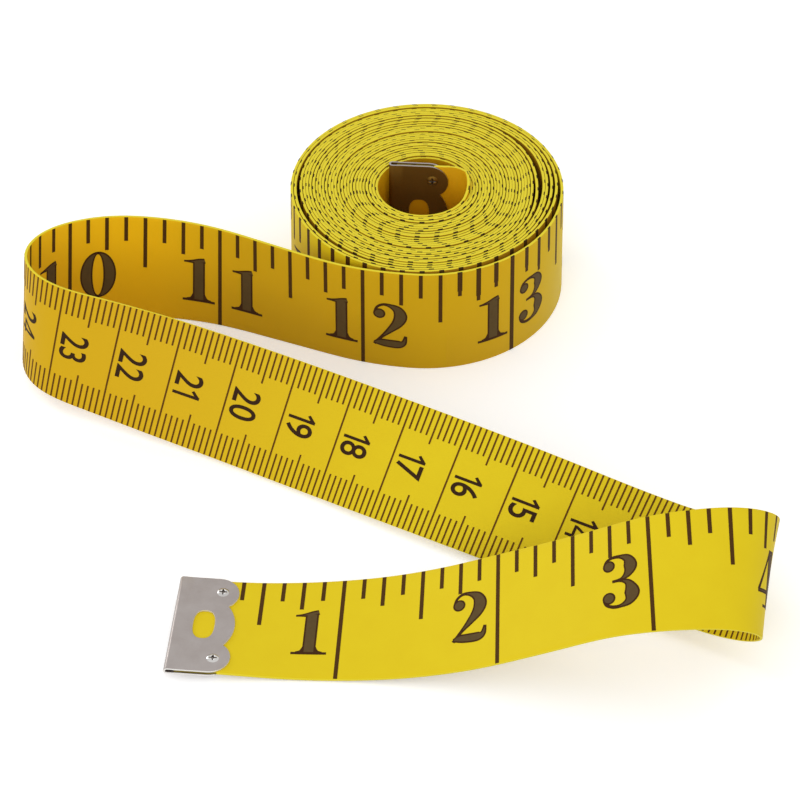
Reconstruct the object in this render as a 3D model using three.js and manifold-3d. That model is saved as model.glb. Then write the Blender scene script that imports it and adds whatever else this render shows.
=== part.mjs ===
// Cloth tape measure, partly unrolled: one coated cloth strip with a folded sheet-metal clip on each end.
// The strip stands on its edge in a coil. Its loose end leaves the coil, runs left, turns back in a loop, crosses
// to the right, turns back once more and leans over, until it lies nearly flat at the front clip.
// Millimetres and degrees, +Z up.
import * as THREE from 'three';
import { mergeVertices } from 'three/addons/utils/BufferGeometryUtils.js';
import Module from 'manifold-3d';

const wasm = await Module();
wasm.setup();

// Driving dimensions of the strip
const tapeWidth = 19.7;
const tapeThickness = 0.45;
const seatGap = 0.3; // left between faces that touch

// Lengths of the loose tape, from the front clip to the coil
const clipLength = 9.5;
const frontRunLength = 78;
const rightLoopLength = 33;
const middleRunLength = 107;
const leftLoopLength = 35;
const backRunLength = 50;
const bendBlend = 8; // over this length one bend runs into the next
const traceStep = 0.25; // step in which the path is followed
const runStep = 2.5; // largest length of one strip section on a run
const loopStep = 1.7; // and on a loop

// Driving dimensions of the coil, measured to the middle of the strip
const coilRadius = 22.5;
const eyeShare = 0.78; // radius of the eye in lengths of the core clip, which lies across it
const eyeRadius = eyeShare * clipLength;
const layerGap = 0.41; // least space left between two layers
const slackShift = 0.5; // the inner layers lie this far off the outer ones, which opens a crescent between them
const slackAngle = -20; // side of the crescent, round from +X
const slackTurns = 4; // outer layers that lie in front of the crescent
const takeOffAngle = -97; // where the loose tape leaves the coil, round from +X
const stepsPerLoop = 24;
const kinkSteps = 6; // on the bend into the core clip

// Driving dimensions of the folded clips
const leafThickness = 0.3;
const foldBulge = 0.2; // the rolled fold is this much thicker than the leaves on each side
const frontClipSkew = 4; // the front clip is crimped on a little out of square
const cornerRadius = 3.2; // of the lobes at the two edges
const middleLobeRadius = 7;
const slotWidth = 3.4;
const slotHeight = 6;
const slotFromFold = 4.9;
const dimpleFromFold = 7.15;
const dimpleFromEdge = 2.8;
const dimpleRadius = 0.95;
const dimpleHeight = 0.35;
const arcSteps = 14; // on each round stretch of a clip
const cutOverrun = 1; // a cutting shape reaches this far past what it cuts

const leafInner = tapeThickness / 2 + seatGap;
const leafOuter = leafInner + leafThickness;
const foldOuter = leafOuter + foldBulge;
const foldInner = foldOuter - leafThickness;

// Every run in turn from the zero end. Each run is a row of stretches: their shares of the run's length, and how
// many degrees each bends to the left about the tape's width and twists about the tape's length.
const looseRuns = [
  { name: 'clip_seat', length: clipLength, stretchShares: [1], bends: [0], twists: [0] },
  {
    name: 'tape_front_run',
    length: frontRunLength,
    step: runStep,
    stretchShares: [0.25, 0.25, 0.25, 0.25],
    bends: [-11, -16.5, -3, 31],
    twists: [6, 7, -0.5, 14],
  },
  {
    name: 'tape_right_loop',
    length: rightLoopLength,
    step: loopStep,
    stretchShares: [1 / 3, 1 / 3, 1 / 3],
    bends: [81, 66, 6],
    twists: [15, 19, 8.5],
  },
  {
    name: 'tape_middle_run',
    length: middleRunLength,
    step: runStep,
    stretchShares: [0.2, 0.3, 0.35, 0.15],
    bends: [16, -11.5, 10.5, 5],
    twists: [-15, -11, -16, -12],
  },
  {
    name: 'tape_left_loop',
    length: leftLoopLength,
    step: loopStep,
    stretchShares: [0.35, 0.35, 0.3],
    bends: [-66.5, -67, -27.5],
    twists: [-13, 0, -1.5],
  },
  {
    name: 'tape_back_run',
    length: backRunLength,
    step: runStep,
    stretchShares: [0.4, 0.3, 0.3],
    bends: [-27.5, 0, 18.5],
    twists: [5.5, 2.5, -1.5],
  },
];

const radians = THREE.MathUtils.degToRad;

const tapeMaterial = () => new THREE.MeshStandardMaterial({ color: 0xdcc01f, roughness: 0.55, metalness: 0 });
const clipMaterial = () => new THREE.MeshStandardMaterial({ color: 0xa59c97, roughness: 0.38, metalness: 1 });

// A frame is a place on the strip's middle line and an attitude: local X runs along the tape from its zero end,
// Y is to the left of it and Z crosses the tape from its lower edge to its upper one.
function frameFrom(position, along, across) {
  const side = new THREE.Vector3().crossVectors(across, along);
  const basis = new THREE.Matrix4().makeBasis(along, side, across);
  return { position, attitude: new THREE.Quaternion().setFromRotationMatrix(basis) };
}

// Degrees turned between the zero end and each end of a stretch, for 'bends' or 'twists'.
function turnedAlong(kind) {
  const marks = [{ at: 0, turned: 0 }];
  for (const run of looseRuns) {
    run.stretchShares.forEach((share, i) => {
      const last = marks[marks.length - 1];
      marks.push({ at: last.at + share * run.length, turned: last.turned + run[kind][i] });
    });
  }
  return (at) => {
    const next = marks.findIndex((mark) => mark.at >= at);
    if (next === 0) return 0;
    if (next < 0) return marks[marks.length - 1].turned;
    const [a, b] = [marks[next - 1], marks[next]];
    return a.turned + ((b.turned - a.turned) * (at - a.at)) / (b.at - a.at);
  };
}

const looseLength = looseRuns.reduce((sum, run) => sum + run.length, 0);

// Follows the loose tape from the coil out to its zero end. The strip bends only about its width and twists
// about its length, as a flat strip does, and never bends edgeways.
function traceLoosePath() {
  const bendTo = turnedAlong('bends');
  const twistTo = turnedAlong('twists');
  const rate = (turnedTo, at) =>
    radians(turnedTo(at + bendBlend / 2) - turnedTo(at - bendBlend / 2)) / bendBlend;
  const angle = radians(takeOffAngle);
  const start = new THREE.Vector3(Math.cos(angle), Math.sin(angle), 0).multiplyScalar(coilRadius);
  start.z = tapeWidth / 2;
  const along = new THREE.Vector3(-Math.sin(angle), Math.cos(angle), 0);
  let frame = frameFrom(start, along, new THREE.Vector3(0, 0, 1));
  const steps = Math.ceil(looseLength / traceStep);
  const step = looseLength / steps;
  const frames = [frame];
  for (let i = 0; i < steps; i += 1) {
    const at = looseLength - (i + 1 / 2) * step;
    const turn = new THREE.Vector3(rate(twistTo, at), 0, rate(bendTo, at)).multiplyScalar(-step);
    const turnQuaternion = new THREE.Quaternion().setFromAxisAngle(turn.clone().normalize(), turn.length());
    const attitude = frame.attitude.clone().multiply(turnQuaternion);
    const before = new THREE.Vector3(1, 0, 0).applyQuaternion(frame.attitude);
    const after = new THREE.Vector3(1, 0, 0).applyQuaternion(attitude);
    const position = frame.position.clone().addScaledVector(before.add(after), -step / 2);
    frame = { position, attitude };
    frames.push(frame);
  }
  frames.reverse();
  return (at) => {
    const place = THREE.MathUtils.clamp(at / step, 0, steps);
    const low = Math.min(Math.floor(place), steps - 1);
    const share = place - low;
    return {
      position: frames[low].position.clone().lerp(frames[low + 1].position, share),
      attitude: frames[low].attitude.clone().slerp(frames[low + 1].attitude, share),
    };
  };
}

// A strip of the tape's section through all the frames, closed at both ends.
function stripGeometry(frames) {
  const corners = [
    [-1, -1],
    [1, -1],
    [1, 1],
    [-1, 1],
  ];
  const vertices = frames.flatMap(({ position, attitude }) =>
    corners.flatMap(([side, across]) =>
      new THREE.Vector3(0, (side * tapeThickness) / 2, (across * tapeWidth) / 2)
        .applyQuaternion(attitude)
        .add(position)
        .toArray(),
    ),
  );
  const faces = [];
  const quad = (a, b, c, d) => faces.push(a, b, c, a, c, d);
  quad(3, 2, 1, 0);
  for (let i = 1; i < frames.length; i += 1) {
    const near = (i - 1) * corners.length;
    const far = i * corners.length;
    corners.forEach((_, k) => {
      const next = (k + 1) % corners.length;
      const [a, b, c, d] = [near + k, near + next, far + next, far + k];
      // Both faces are split along the same diagonal, so the strip keeps its thickness where it twists.
      if (k < corners.length / 2) quad(a, b, c, d);
      else quad(b, c, d, a);
    });
  }
  const end = (frames.length - 1) * corners.length;
  quad(end, end + 1, end + 2, end + 3);
  const geometry = new THREE.BufferGeometry();
  geometry.setAttribute('position', new THREE.Float32BufferAttribute(vertices, 3));
  geometry.setIndex(faces);
  return geometry;
}

// Where the inner end of the coil leaves the innermost layer, bends and crosses the eye in its clip. The clip is
// centred across the back of the eye, as near the wall as its fold goes.
function innerEnd() {
  const wall = eyeRadius - tapeThickness / 2 - seatGap;
  const half = clipLength / 2;
  const setBack = Math.sqrt(wall ** 2 - half ** 2) - foldOuter;
  const kinkRadius = (eyeRadius ** 2 - half ** 2 - setBack ** 2) / (2 * (eyeRadius - setBack));
  const leaveAngle = Math.atan2(setBack - kinkRadius, half);
  return { half, setBack, kinkRadius, leaveAngle };
}

// Middle line of the coil as points in plan, wound inwards and to the left, and the frame of the core clip.
function coilPath() {
  const { half, setBack, kinkRadius, leaveAngle } = innerEnd();
  const start = radians(takeOffAngle);
  const partTurn = (leaveAngle - start) / (2 * Math.PI);
  const depth = coilRadius - slackShift - eyeRadius;
  const turns = Math.floor(depth / (tapeThickness + layerGap) - partTurn) + partTurn;
  const pitch = depth / turns;
  const slackSide = new THREE.Vector2(Math.cos(radians(slackAngle)), Math.sin(radians(slackAngle)));
  const eyeCentre = slackSide.clone().multiplyScalar(-slackShift);
  const points = [];
  const steps = Math.round(turns * stepsPerLoop);
  for (let i = 0; i <= steps; i += 1) {
    const turned = (turns * i) / steps;
    const slack = THREE.MathUtils.smoothstep(turned, slackTurns, slackTurns + 1);
    const radius = coilRadius - pitch * turned - slackShift * slack;
    const angle = start + 2 * Math.PI * turned;
    points.push(
      new THREE.Vector2(Math.cos(angle), Math.sin(angle))
        .multiplyScalar(radius)
        .addScaledVector(slackSide, -slackShift * slack),
    );
  }
  for (let i = 1; i <= kinkSteps; i += 1) {
    const angle = leaveAngle + ((Math.PI / 2 - leaveAngle) * i) / kinkSteps;
    points.push(
      new THREE.Vector2(half, setBack - kinkRadius)
        .add(new THREE.Vector2(Math.cos(angle), Math.sin(angle)).multiplyScalar(kinkRadius))
        .add(eyeCentre),
    );
  }
  const innerTip = new THREE.Vector2(foldOuter - foldInner + seatGap - half, setBack).add(eyeCentre);
  points.push(innerTip);
  const clipCentre = new THREE.Vector3(eyeCentre.x, eyeCentre.y + setBack, tapeWidth / 2);
  return { points, turns, clipCentre };
}

// Frames that stand upright on the points of a plan path, square to it at both ends.
function uprightFrames(points, firstAlong) {
  return points.map((point, i) => {
    const before = points[Math.max(i - 1, 0)];
    const after = points[Math.min(i + 1, points.length - 1)];
    const run = after.clone().sub(before).normalize();
    const along = i === 0 ? firstAlong : new THREE.Vector3(run.x, run.y, 0);
    const position = new THREE.Vector3(point.x, point.y, tapeWidth / 2);
    return frameFrom(position, along, new THREE.Vector3(0, 0, 1));
  });
}

// Least space between two layers, measured from every point to every piece of the path at least half a loop away.
function leastGap(points) {
  let least = Infinity;
  const apart = stepsPerLoop / 2;
  points.forEach((point, i) => {
    for (let k = 1; k < points.length; k += 1) {
      if (Math.abs(k - i) <= apart) continue;
      const side = points[k].clone().sub(points[k - 1]);
      const from = point.clone().sub(points[k - 1]);
      const share = THREE.MathUtils.clamp(from.dot(side) / side.lengthSq(), 0, 1);
      least = Math.min(least, from.addScaledVector(side, -share).length());
    }
  });
  return least - tapeThickness;
}

function toSolid(geometry) {
  geometry.deleteAttribute('normal');
  geometry.deleteAttribute('uv');
  const merged = mergeVertices(geometry, traceStep / 1000);
  return new wasm.Manifold(
    new wasm.Mesh({
      numProp: 3,
      vertProperties: new Float32Array(merged.attributes.position.array),
      triVerts: new Uint32Array(merged.index.array),
    }),
  );
}

function toGeometry(solid) {
  const mesh = solid.getMesh();
  const geometry = new THREE.BufferGeometry();
  geometry.setAttribute('position', new THREE.BufferAttribute(new Float32Array(mesh.vertProperties), 3));
  geometry.setIndex(new THREE.BufferAttribute(new Uint32Array(mesh.triVerts), 1));
  return geometry;
}

// A shape drawn along the tape (x) and across it (y), made into a prism through the clip's thickness.
function throughClip(shape) {
  const depth = 2 * (foldOuter + cutOverrun);
  const prism = new THREE.ExtrudeGeometry(shape, { depth, bevelEnabled: false, curveSegments: arcSteps });
  prism.translate(0, 0, -depth / 2);
  prism.rotateX(Math.PI / 2);
  return toSolid(prism);
}

// Both leaves and the rolled fold, drawn along the tape (x) and through its thickness (y).
function foldedSheet() {
  const outerReach = foldOuter + Math.sqrt(foldOuter ** 2 - leafOuter ** 2);
  const innerReach = foldOuter + Math.sqrt(foldInner ** 2 - leafInner ** 2);
  const outerTurn = Math.atan2(leafOuter, outerReach - foldOuter);
  const innerTurn = Math.atan2(leafInner, innerReach - foldOuter);
  const side = new THREE.Shape();
  side.moveTo(clipLength, leafInner);
  side.lineTo(clipLength, leafOuter);
  side.lineTo(outerReach, leafOuter);
  side.absarc(foldOuter, 0, foldOuter, outerTurn, 2 * Math.PI - outerTurn, false);
  side.lineTo(clipLength, -leafOuter);
  side.lineTo(clipLength, -leafInner);
  side.lineTo(innerReach, -leafInner);
  side.absarc(foldOuter, 0, foldInner, 2 * Math.PI - innerTurn, innerTurn, true);
  side.closePath();
  const sheet = new THREE.ExtrudeGeometry(side, {
    depth: tapeWidth,
    bevelEnabled: false,
    curveSegments: arcSteps,
  });
  sheet.translate(0, 0, -tapeWidth / 2);
  return toSolid(sheet);
}

// The leaf's outline: square at the fold, three round lobes at the mouth.
function leafOutline() {
  const edge = tapeWidth / 2;
  const lobeCentre = new THREE.Vector2(clipLength - cornerRadius, edge - cornerRadius);
  const middleCentre = clipLength - middleLobeRadius;
  // The notch is where the lobe's circle and the middle lobe's circle cross.
  const between = new THREE.Vector2(middleCentre - lobeCentre.x, -lobeCentre.y);
  const span = between.length();
  const reach = (span ** 2 + cornerRadius ** 2 - middleLobeRadius ** 2) / (2 * span);
  const rise = Math.sqrt(Math.max(cornerRadius ** 2 - reach ** 2, 0));
  const notch = lobeCentre
    .clone()
    .addScaledVector(between, reach / span)
    .add(new THREE.Vector2(-between.y, between.x).multiplyScalar(rise / span));
  const lobeTurn = Math.atan2(notch.y - lobeCentre.y, notch.x - lobeCentre.x);
  const middleTurn = Math.atan2(notch.y, notch.x - middleCentre);
  const outline = new THREE.Shape();
  outline.moveTo(-cutOverrun, -edge);
  outline.lineTo(lobeCentre.x, -edge);
  outline.absarc(lobeCentre.x, -lobeCentre.y, cornerRadius, -Math.PI / 2, -lobeTurn, false);
  outline.absarc(middleCentre, 0, middleLobeRadius, -middleTurn, middleTurn, false);
  outline.absarc(lobeCentre.x, lobeCentre.y, cornerRadius, lobeTurn, Math.PI / 2, false);
  outline.lineTo(-cutOverrun, edge);
  outline.closePath();
  return outline;
}

function slotOutline() {
  const radius = slotWidth / 2;
  const reach = slotHeight / 2 - radius;
  const slot = new THREE.Shape();
  slot.absarc(slotFromFold, reach, radius, 0, Math.PI, false);
  slot.absarc(slotFromFold, -reach, radius, Math.PI, 2 * Math.PI, false);
  slot.closePath();
  return slot;
}

// A low dome staked up out of the leaf, with a small pit at its top.
function dimple(across) {
  const pitRadius = dimpleRadius / 4;
  const pitDepth = dimpleHeight / 2;
  const root = leafThickness / 2;
  const profile = [new THREE.Vector2(0, -root), new THREE.Vector2(dimpleRadius, -root)];
  const domeSteps = 4;
  for (let i = 0; i <= domeSteps; i += 1) {
    const share = i / domeSteps;
    const radius = dimpleRadius + (pitRadius - dimpleRadius) * share;
    profile.push(new THREE.Vector2(radius, dimpleHeight * Math.sin((share * Math.PI) / 2)));
  }
  profile.push(new THREE.Vector2(0, dimpleHeight - pitDepth));
  const dome = new THREE.LatheGeometry(profile, arcSteps);
  dome.rotateX(Math.PI);
  dome.translate(dimpleFromFold, -leafOuter, across);
  return toSolid(dome);
}

// The folded clip, with local X from its fold to its mouth and the domes on the -Y side.
function clipGeometry() {
  let clip = foldedSheet().intersect(throughClip(leafOutline())).subtract(throughClip(slotOutline()));
  const across = tapeWidth / 2 - dimpleFromEdge;
  for (const side of [-across, across]) clip = clip.add(dimple(side));
  const geometry = toGeometry(clip);
  geometry.translate(-clipLength / 2, 0, 0);
  return geometry;
}

function placedClip(name, frame, skew) {
  const clip = new THREE.Mesh(clipGeometry(), clipMaterial());
  clip.name = name;
  clip.position.copy(frame.position);
  clip.quaternion.copy(frame.attitude);
  clip.rotateY(radians(skew));
  return clip;
}

function strip(name, frames) {
  const mesh = new THREE.Mesh(stripGeometry(frames), tapeMaterial());
  mesh.name = name;
  return mesh;
}

// The strip's end lies this far in from the fold, clear of it also where the skewed clip is nearest.
const frontTip = foldOuter - foldInner + seatGap + (Math.sin(radians(frontClipSkew)) * tapeWidth) / 2;

const tape = new THREE.Group();
const loosePath = traceLoosePath();
let runStart = 0;
for (const run of looseRuns) {
  const runEnd = runStart + run.length;
  if (run.step) {
    const from = run.name === 'tape_front_run' ? frontTip : runStart + seatGap / 2;
    const to = runEnd - seatGap / 2;
    const steps = Math.ceil((to - from) / run.step);
    const frames = Array.from({ length: steps + 1 }, (_, i) => loosePath(from + ((to - from) * i) / steps));
    tape.add(strip(run.name, frames));
  }
  runStart = runEnd;
}

const coil = coilPath();
const takeOff = loosePath(looseLength);
const takeOffAlong = new THREE.Vector3(1, 0, 0).applyQuaternion(takeOff.attitude);
coil.points[0].addScaledVector(new THREE.Vector2(takeOffAlong.x, takeOffAlong.y), seatGap / 2);
tape.add(strip('tape_coil', uprightFrames(coil.points, takeOffAlong)));
console.log(`coil of ${coil.turns.toFixed(2)} turns, least gap ${leastGap(coil.points).toFixed(3)} mm`);

tape.add(placedClip('front_clip', loosePath(clipLength / 2), frontClipSkew));
const coreClipFrame = frameFrom(coil.clipCentre, new THREE.Vector3(1, 0, 0), new THREE.Vector3(0, 0, 1));
tape.add(placedClip('core_clip', coreClipFrame, 0));

// The origin is under the middle of the part, on the surface that it stands on.
tape.updateMatrixWorld(true);
const bounds = new THREE.Box3().setFromObject(tape, true);
const middle = bounds.getCenter(new THREE.Vector3());
tape.position.set(-middle.x, -middle.y, -bounds.min.z);

const tapeMeasure = new THREE.Group();
tapeMeasure.add(tape);

export default tapeMeasure;
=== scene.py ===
import bisect
import math

import bmesh
import bpy
from mathutils import Matrix, Quaternion, Vector
from mathutils.geometry import delaunay_2d_cdt


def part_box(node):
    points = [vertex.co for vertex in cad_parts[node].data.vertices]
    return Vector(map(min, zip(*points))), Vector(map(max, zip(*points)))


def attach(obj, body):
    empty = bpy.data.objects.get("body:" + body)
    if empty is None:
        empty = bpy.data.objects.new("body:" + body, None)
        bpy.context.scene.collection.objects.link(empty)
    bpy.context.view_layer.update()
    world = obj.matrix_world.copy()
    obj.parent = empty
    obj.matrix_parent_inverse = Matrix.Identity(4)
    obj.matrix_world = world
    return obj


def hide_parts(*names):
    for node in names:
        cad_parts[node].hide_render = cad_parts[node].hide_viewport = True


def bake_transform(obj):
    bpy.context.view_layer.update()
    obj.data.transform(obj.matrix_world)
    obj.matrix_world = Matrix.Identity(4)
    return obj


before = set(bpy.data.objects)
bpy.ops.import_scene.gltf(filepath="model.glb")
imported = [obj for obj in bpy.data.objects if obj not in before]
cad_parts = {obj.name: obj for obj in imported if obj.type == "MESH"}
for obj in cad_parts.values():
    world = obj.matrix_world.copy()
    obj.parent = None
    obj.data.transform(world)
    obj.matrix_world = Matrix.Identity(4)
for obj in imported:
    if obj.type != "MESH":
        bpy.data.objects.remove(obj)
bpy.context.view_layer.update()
up = Vector((0, 0, 1))
sameWithin = 1e-7  # metres; nearer points count as one

# The printed cloth strip, in metres and degrees, measured from its zero end
tape = {
    "width": 0.0197,
    "thickness": 0.00045,
    "edgeRound": 0.00007,
    "seat": 0.0095,  # covered by the front clip
    "frontEnd": -0.0004,  # the cloth reaches this far into the front clip
    "bendBlend": 0.008,  # over this length one bend runs into the next
    "traceStep": 0.00025,
    "coarseStep": 0.001,  # between the strip's cross lines on a run
    "fineStep": 0.0006,  # and on a loop
    "cellsAcross": 20,
    "cellsAcrossCoil": 2,
    "takeOff": 0.006,  # on each side of where the tape leaves the coil
    "blendInset": 0.12,  # share of a loop, at each end, that goes with the run there
}

# Each run is a row of stretches: shares of its length, with the degrees each bends and twists
looseRuns = [
    {"name": "clipSeat", "length": tape["seat"], "shares": [1], "bends": [0], "twists": [0]},
    {
        "name": "frontRun",
        "length": 0.078,
        "shares": [0.25, 0.25, 0.25, 0.25],
        "bends": [-11, -16.5, -3, 31],
        "twists": [6, 7, -0.5, 14],
    },
    {
        "name": "rightLoop",
        "length": 0.033,
        "shares": [1 / 3, 1 / 3, 1 / 3],
        "bends": [81, 66, 6],
        "twists": [15, 19, 8.5],
    },
    {
        "name": "middleRun",
        "length": 0.107,
        "shares": [0.2, 0.3, 0.35, 0.15],
        "bends": [16, -11.5, 10.5, 5],
        "twists": [-15, -11, -16, -12],
    },
    {
        "name": "leftLoop",
        "length": 0.035,
        "shares": [0.35, 0.35, 0.3],
        "bends": [-66.5, -67, -27.5],
        "twists": [-13, 0, -1.5],
    },
    {
        "name": "backRun",
        "length": 0.05,
        "shares": [0.4, 0.3, 0.3],
        "bends": [-27.5, 0, 18.5],
        "twists": [5.5, 2.5, -1.5],
    },
]
looseLength = sum(run["length"] for run in looseRuns)

# The folded end clip of the solids, which the wound strip has to reach
clipFrame = {
    "length": 0.0095,
    "leafGap": 0.0003,  # between the strip and a leaf
    "leaf": 0.0003,
    "foldBulge": 0.0002,
    "endGap": 0.0003,  # between the strip's end and the fold
    "skew": 4,
}
clipFrame["leafInner"] = tape["thickness"] / 2 + clipFrame["leafGap"]
clipFrame["foldOuter"] = clipFrame["leafInner"] + clipFrame["leaf"] + clipFrame["foldBulge"]

# The wound part, measured to the middle of the strip
coil = {
    "radius": 0.0225,
    "eyeRadius": 0.78 * clipFrame["length"],  # the inner clip nearly spans the eye
    "eyeShift": (-0.00046985, 0.00017101),  # eye's centre from the centre of the outer turn
    "takeOffAngle": -97,
    "turns": 27,  # whole turns, to which the part turn up to the kink is added
    "anglesPerTurn": 96,
    "kinkSteps": 16,
    "wander": 0.00025,  # how far a layer's edge stands over the others
    "ripple": 0.00004,  # unevenness of the layers' spacing
    "ripplePeriod": 4.3,  # in turns
    "rippleFrom": 1,  # none up to this turn
    "rippleFull": 3,  # and all of it from this one on
    "rippleFade": 2,  # turns over which it fades out at the eye
    "waves": [(0.28, 1.57, 0), (0.22, 3.71, 1.3)],  # share, rate and start of each wave of the wander
    "innerRise": 0.0015,  # the inner end and its clip stand this much higher than the turns
    "riseFrom": 0.16,  # and start to rise this many turns before the end
    "innerShift": -0.0009,  # the inner clip from the solids' clip
    "innerTurn": -4,
}

# Loose places between layers: the turn outside the gap, the side where it is widest, its width there
# and how far it spreads
looseLayers = [
    {"turn": 1, "side": -42, "gap": 0.0008, "spread": 80},
    {"turn": 2, "side": 212, "gap": 0.0006, "spread": 75},
    {"turn": 2, "side": -8, "gap": 0.00028, "spread": 45},
    {"turn": 3, "side": 0, "gap": 0.00022, "spread": 40},
    {"turn": 5, "side": 18, "gap": 0.0008, "spread": 62},
    {"turn": 6, "side": -10, "gap": 0.0003, "spread": 40},
]


# Marks of the two printed scales: parts of the unit, with the length of their ticks from the edge
inch = 0.0254
scales = {
    "inch": {
        "unit": inch,
        "side": -1,
        "bothEdges": False,
        "ticks": {8: 0.0039, 4: 0.0056, 2: 0.009, 1: tape["width"]},
        "tickWidth": 0.00063,
        "tone": "tickInk",
    },
    "centimetre": {
        "unit": 0.01,
        "side": 1,
        "bothEdges": True,
        "ticks": {10: 0.0043, 2: 0.0055, 1: tape["width"]},
        "tickWidth": 0.00029,
        "tone": "fineInk",
    },
}
ink = {
    "height": 0.00003,  # over the cloth
    "sunk": 0.00002,
    "fillHeight": 0.000036,
    "rim": 0.00028,  # dark rim left around the lighter fill of an inch numeral
    "cell": 0.0013,
    "edgeGap": 0.00008,
    "skew": 0.06,  # the inch print is this much out of square at the zero end, and square from skewEnd on
    "skewEnd": 0.0762,
    "driftFrom": 0.02,  # from here to the next place the inch print drifts down across the tape
    "driftTo": 0.33,
    "drift": 0.001,
    "roughness": 0.6,
    "specular": 0.12,
    "grain": 1500.0,
}
cloth = {
    "light": (0.8, 0.615, 0.008, 1),
    "deep": (0.76, 0.56, 0.006, 1),
    "paintedShadeGolden": (0.7, 0.42, 0.004, 1),  # painted shade: a deeper, more orange yellow on the middle and back runs
    "paintedEyeShade": (0.7, 0.37, 0.003, 1),  # painted shade and yellow bounce light in the coil's eye
    "between": (0.36, 0.19, 0.006, 1),  # painted shade between the coil's layers
    "betweenFrom": 0.44,
    "betweenFull": 0.45,
    "eyeLayer": 0.07,  # length of strip seen in the eye
    "paintedShadeStretch": (0.155, 0.225, 0.325, 0.36),  # starts, is full, is still full and ends
    "paintedBounceOrange": (0.95, 0.55, 0.004, 1),  # painted bounce light: a brighter orange just past the left loop
    "paintedBounceStretch": (0.235, 0.25, 0.262, 0.288),
    "cutEdge": (0.82, 0.68, 0.03, 1),
    "edgeInset": 0.00004,  # the cut edge's colour reaches this far in
    "soaked": (0.05, 0.024, 0.003, 1),  # inch marks where they show on the cut edge
    "soakSpread": 0.0002,
    "soakDepth": -0.3,  # through the strip, from the inch face at -1 to the other at 1
    "paintedClipShade": (0.2, 0.15, 0.02, 1),  # painted shade on the cut edges between a clip's leaves
    "paintedClipShadeTo": 0.0062,
    "roughness": 0.55,
    "specular": 0.16,
    "blotches": 220.0,
    "threads": 3200.0,
    "weaveStrength": 0.08,
    "weaveDepth": 0.0001,
}


def smooth(value, low, high):
    share = min(max((value - low) / (high - low), 0), 1)
    return share * share * (3 - 2 * share)


def attitudeFrom(along, across):
    side = across.cross(along)
    return Matrix((along, side, across)).transposed().to_quaternion()


def polar(angle, radius):
    return Vector((math.cos(angle), math.sin(angle), 0)) * radius


eyeShift = Vector((*coil["eyeShift"], 0))

# Where the inner end leaves the innermost layer and crosses the eye in its clip
eyeWall = coil["eyeRadius"] - clipFrame["leafInner"]
halfClip = clipFrame["length"] / 2
setBack = math.sqrt(eyeWall**2 - halfClip**2) - clipFrame["foldOuter"]
kinkRadius = (coil["eyeRadius"] ** 2 - halfClip**2 - setBack**2) / (2 * (coil["eyeRadius"] - setBack))
leaveAngle = math.atan2(setBack - kinkRadius, halfClip)

# The solids' core clip says where the eye is, and so where the whole path lies
coreLow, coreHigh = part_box("core_clip")
coreFoot = Vector(((coreLow.x + coreHigh.x) / 2, coreHigh.y - clipFrame["foldOuter"], coreLow.z))
eyeCentre = coreFoot - Vector((0, setBack, 0))
coilCentre = eyeCentre - eyeShift
innerPlace = coreFoot + Vector((coil["innerShift"], 0, tape["width"] / 2 + coil["innerRise"]))
innerTurn = Quaternion(up, math.radians(coil["innerTurn"]))


def turnedAlong(kind):
    marks = [(0, 0)]
    for run in looseRuns:
        for share, turn in zip(run["shares"], run[kind]):
            marks.append((marks[-1][0] + share * run["length"], marks[-1][1] + turn))

    def turnedTo(at):
        if at <= 0:
            return 0
        for (a, turnA), (b, turnB) in zip(marks, marks[1:]):
            if at <= b:
                return turnA + (turnB - turnA) * (at - a) / (b - a)
        return marks[-1][1]

    return turnedTo


# Follows the loose tape from the coil out to its zero end; it bends and twists, but never bends edgeways
def traceLooseTape():
    bendTo, twistTo = turnedAlong("bends"), turnedAlong("twists")
    blend = tape["bendBlend"]

    def rate(turnedTo, at):
        return math.radians(turnedTo(at + blend / 2) - turnedTo(at - blend / 2)) / blend

    angle = math.radians(coil["takeOffAngle"])
    position = coilCentre + polar(angle, coil["radius"]) + up * (tape["width"] / 2)
    attitude = attitudeFrom(polar(angle + math.pi / 2, 1), up)
    steps = math.ceil(looseLength / tape["traceStep"])
    step = looseLength / steps
    stations = [(looseLength, position, attitude)]
    for i in range(steps):
        at = looseLength - (i + 0.5) * step
        turn = Vector((rate(twistTo, at), 0, rate(bendTo, at))) * -step
        before = attitude @ Vector((1, 0, 0))
        attitude = attitude @ Quaternion(turn.normalized(), turn.length)
        position = position - (before + attitude @ Vector((1, 0, 0))) * (step / 2)
        stations.append((looseLength - (i + 1) * step, position, attitude))
    stations.reverse()
    return stations


# How far the loose places outside a point of the wound part push it towards the eye
def pushedIn(turned, angle, turns):
    pushed = 0
    start = math.radians(coil["takeOffAngle"])
    for place in looseLayers:
        side, spread = math.radians(place["side"]), math.radians(place["spread"])
        opens = place["turn"] - 1 + ((side - start) / (2 * math.pi)) % 1
        away = abs((angle - side + math.pi) % (2 * math.pi) - math.pi)
        if turned > opens + 0.5 and away < spread:
            fade = (turns - turned) / (turns - opens - 0.5)
            pushed += place["gap"] * fade * math.cos(math.pi / 2 * away / spread) ** 2
    return pushed


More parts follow.
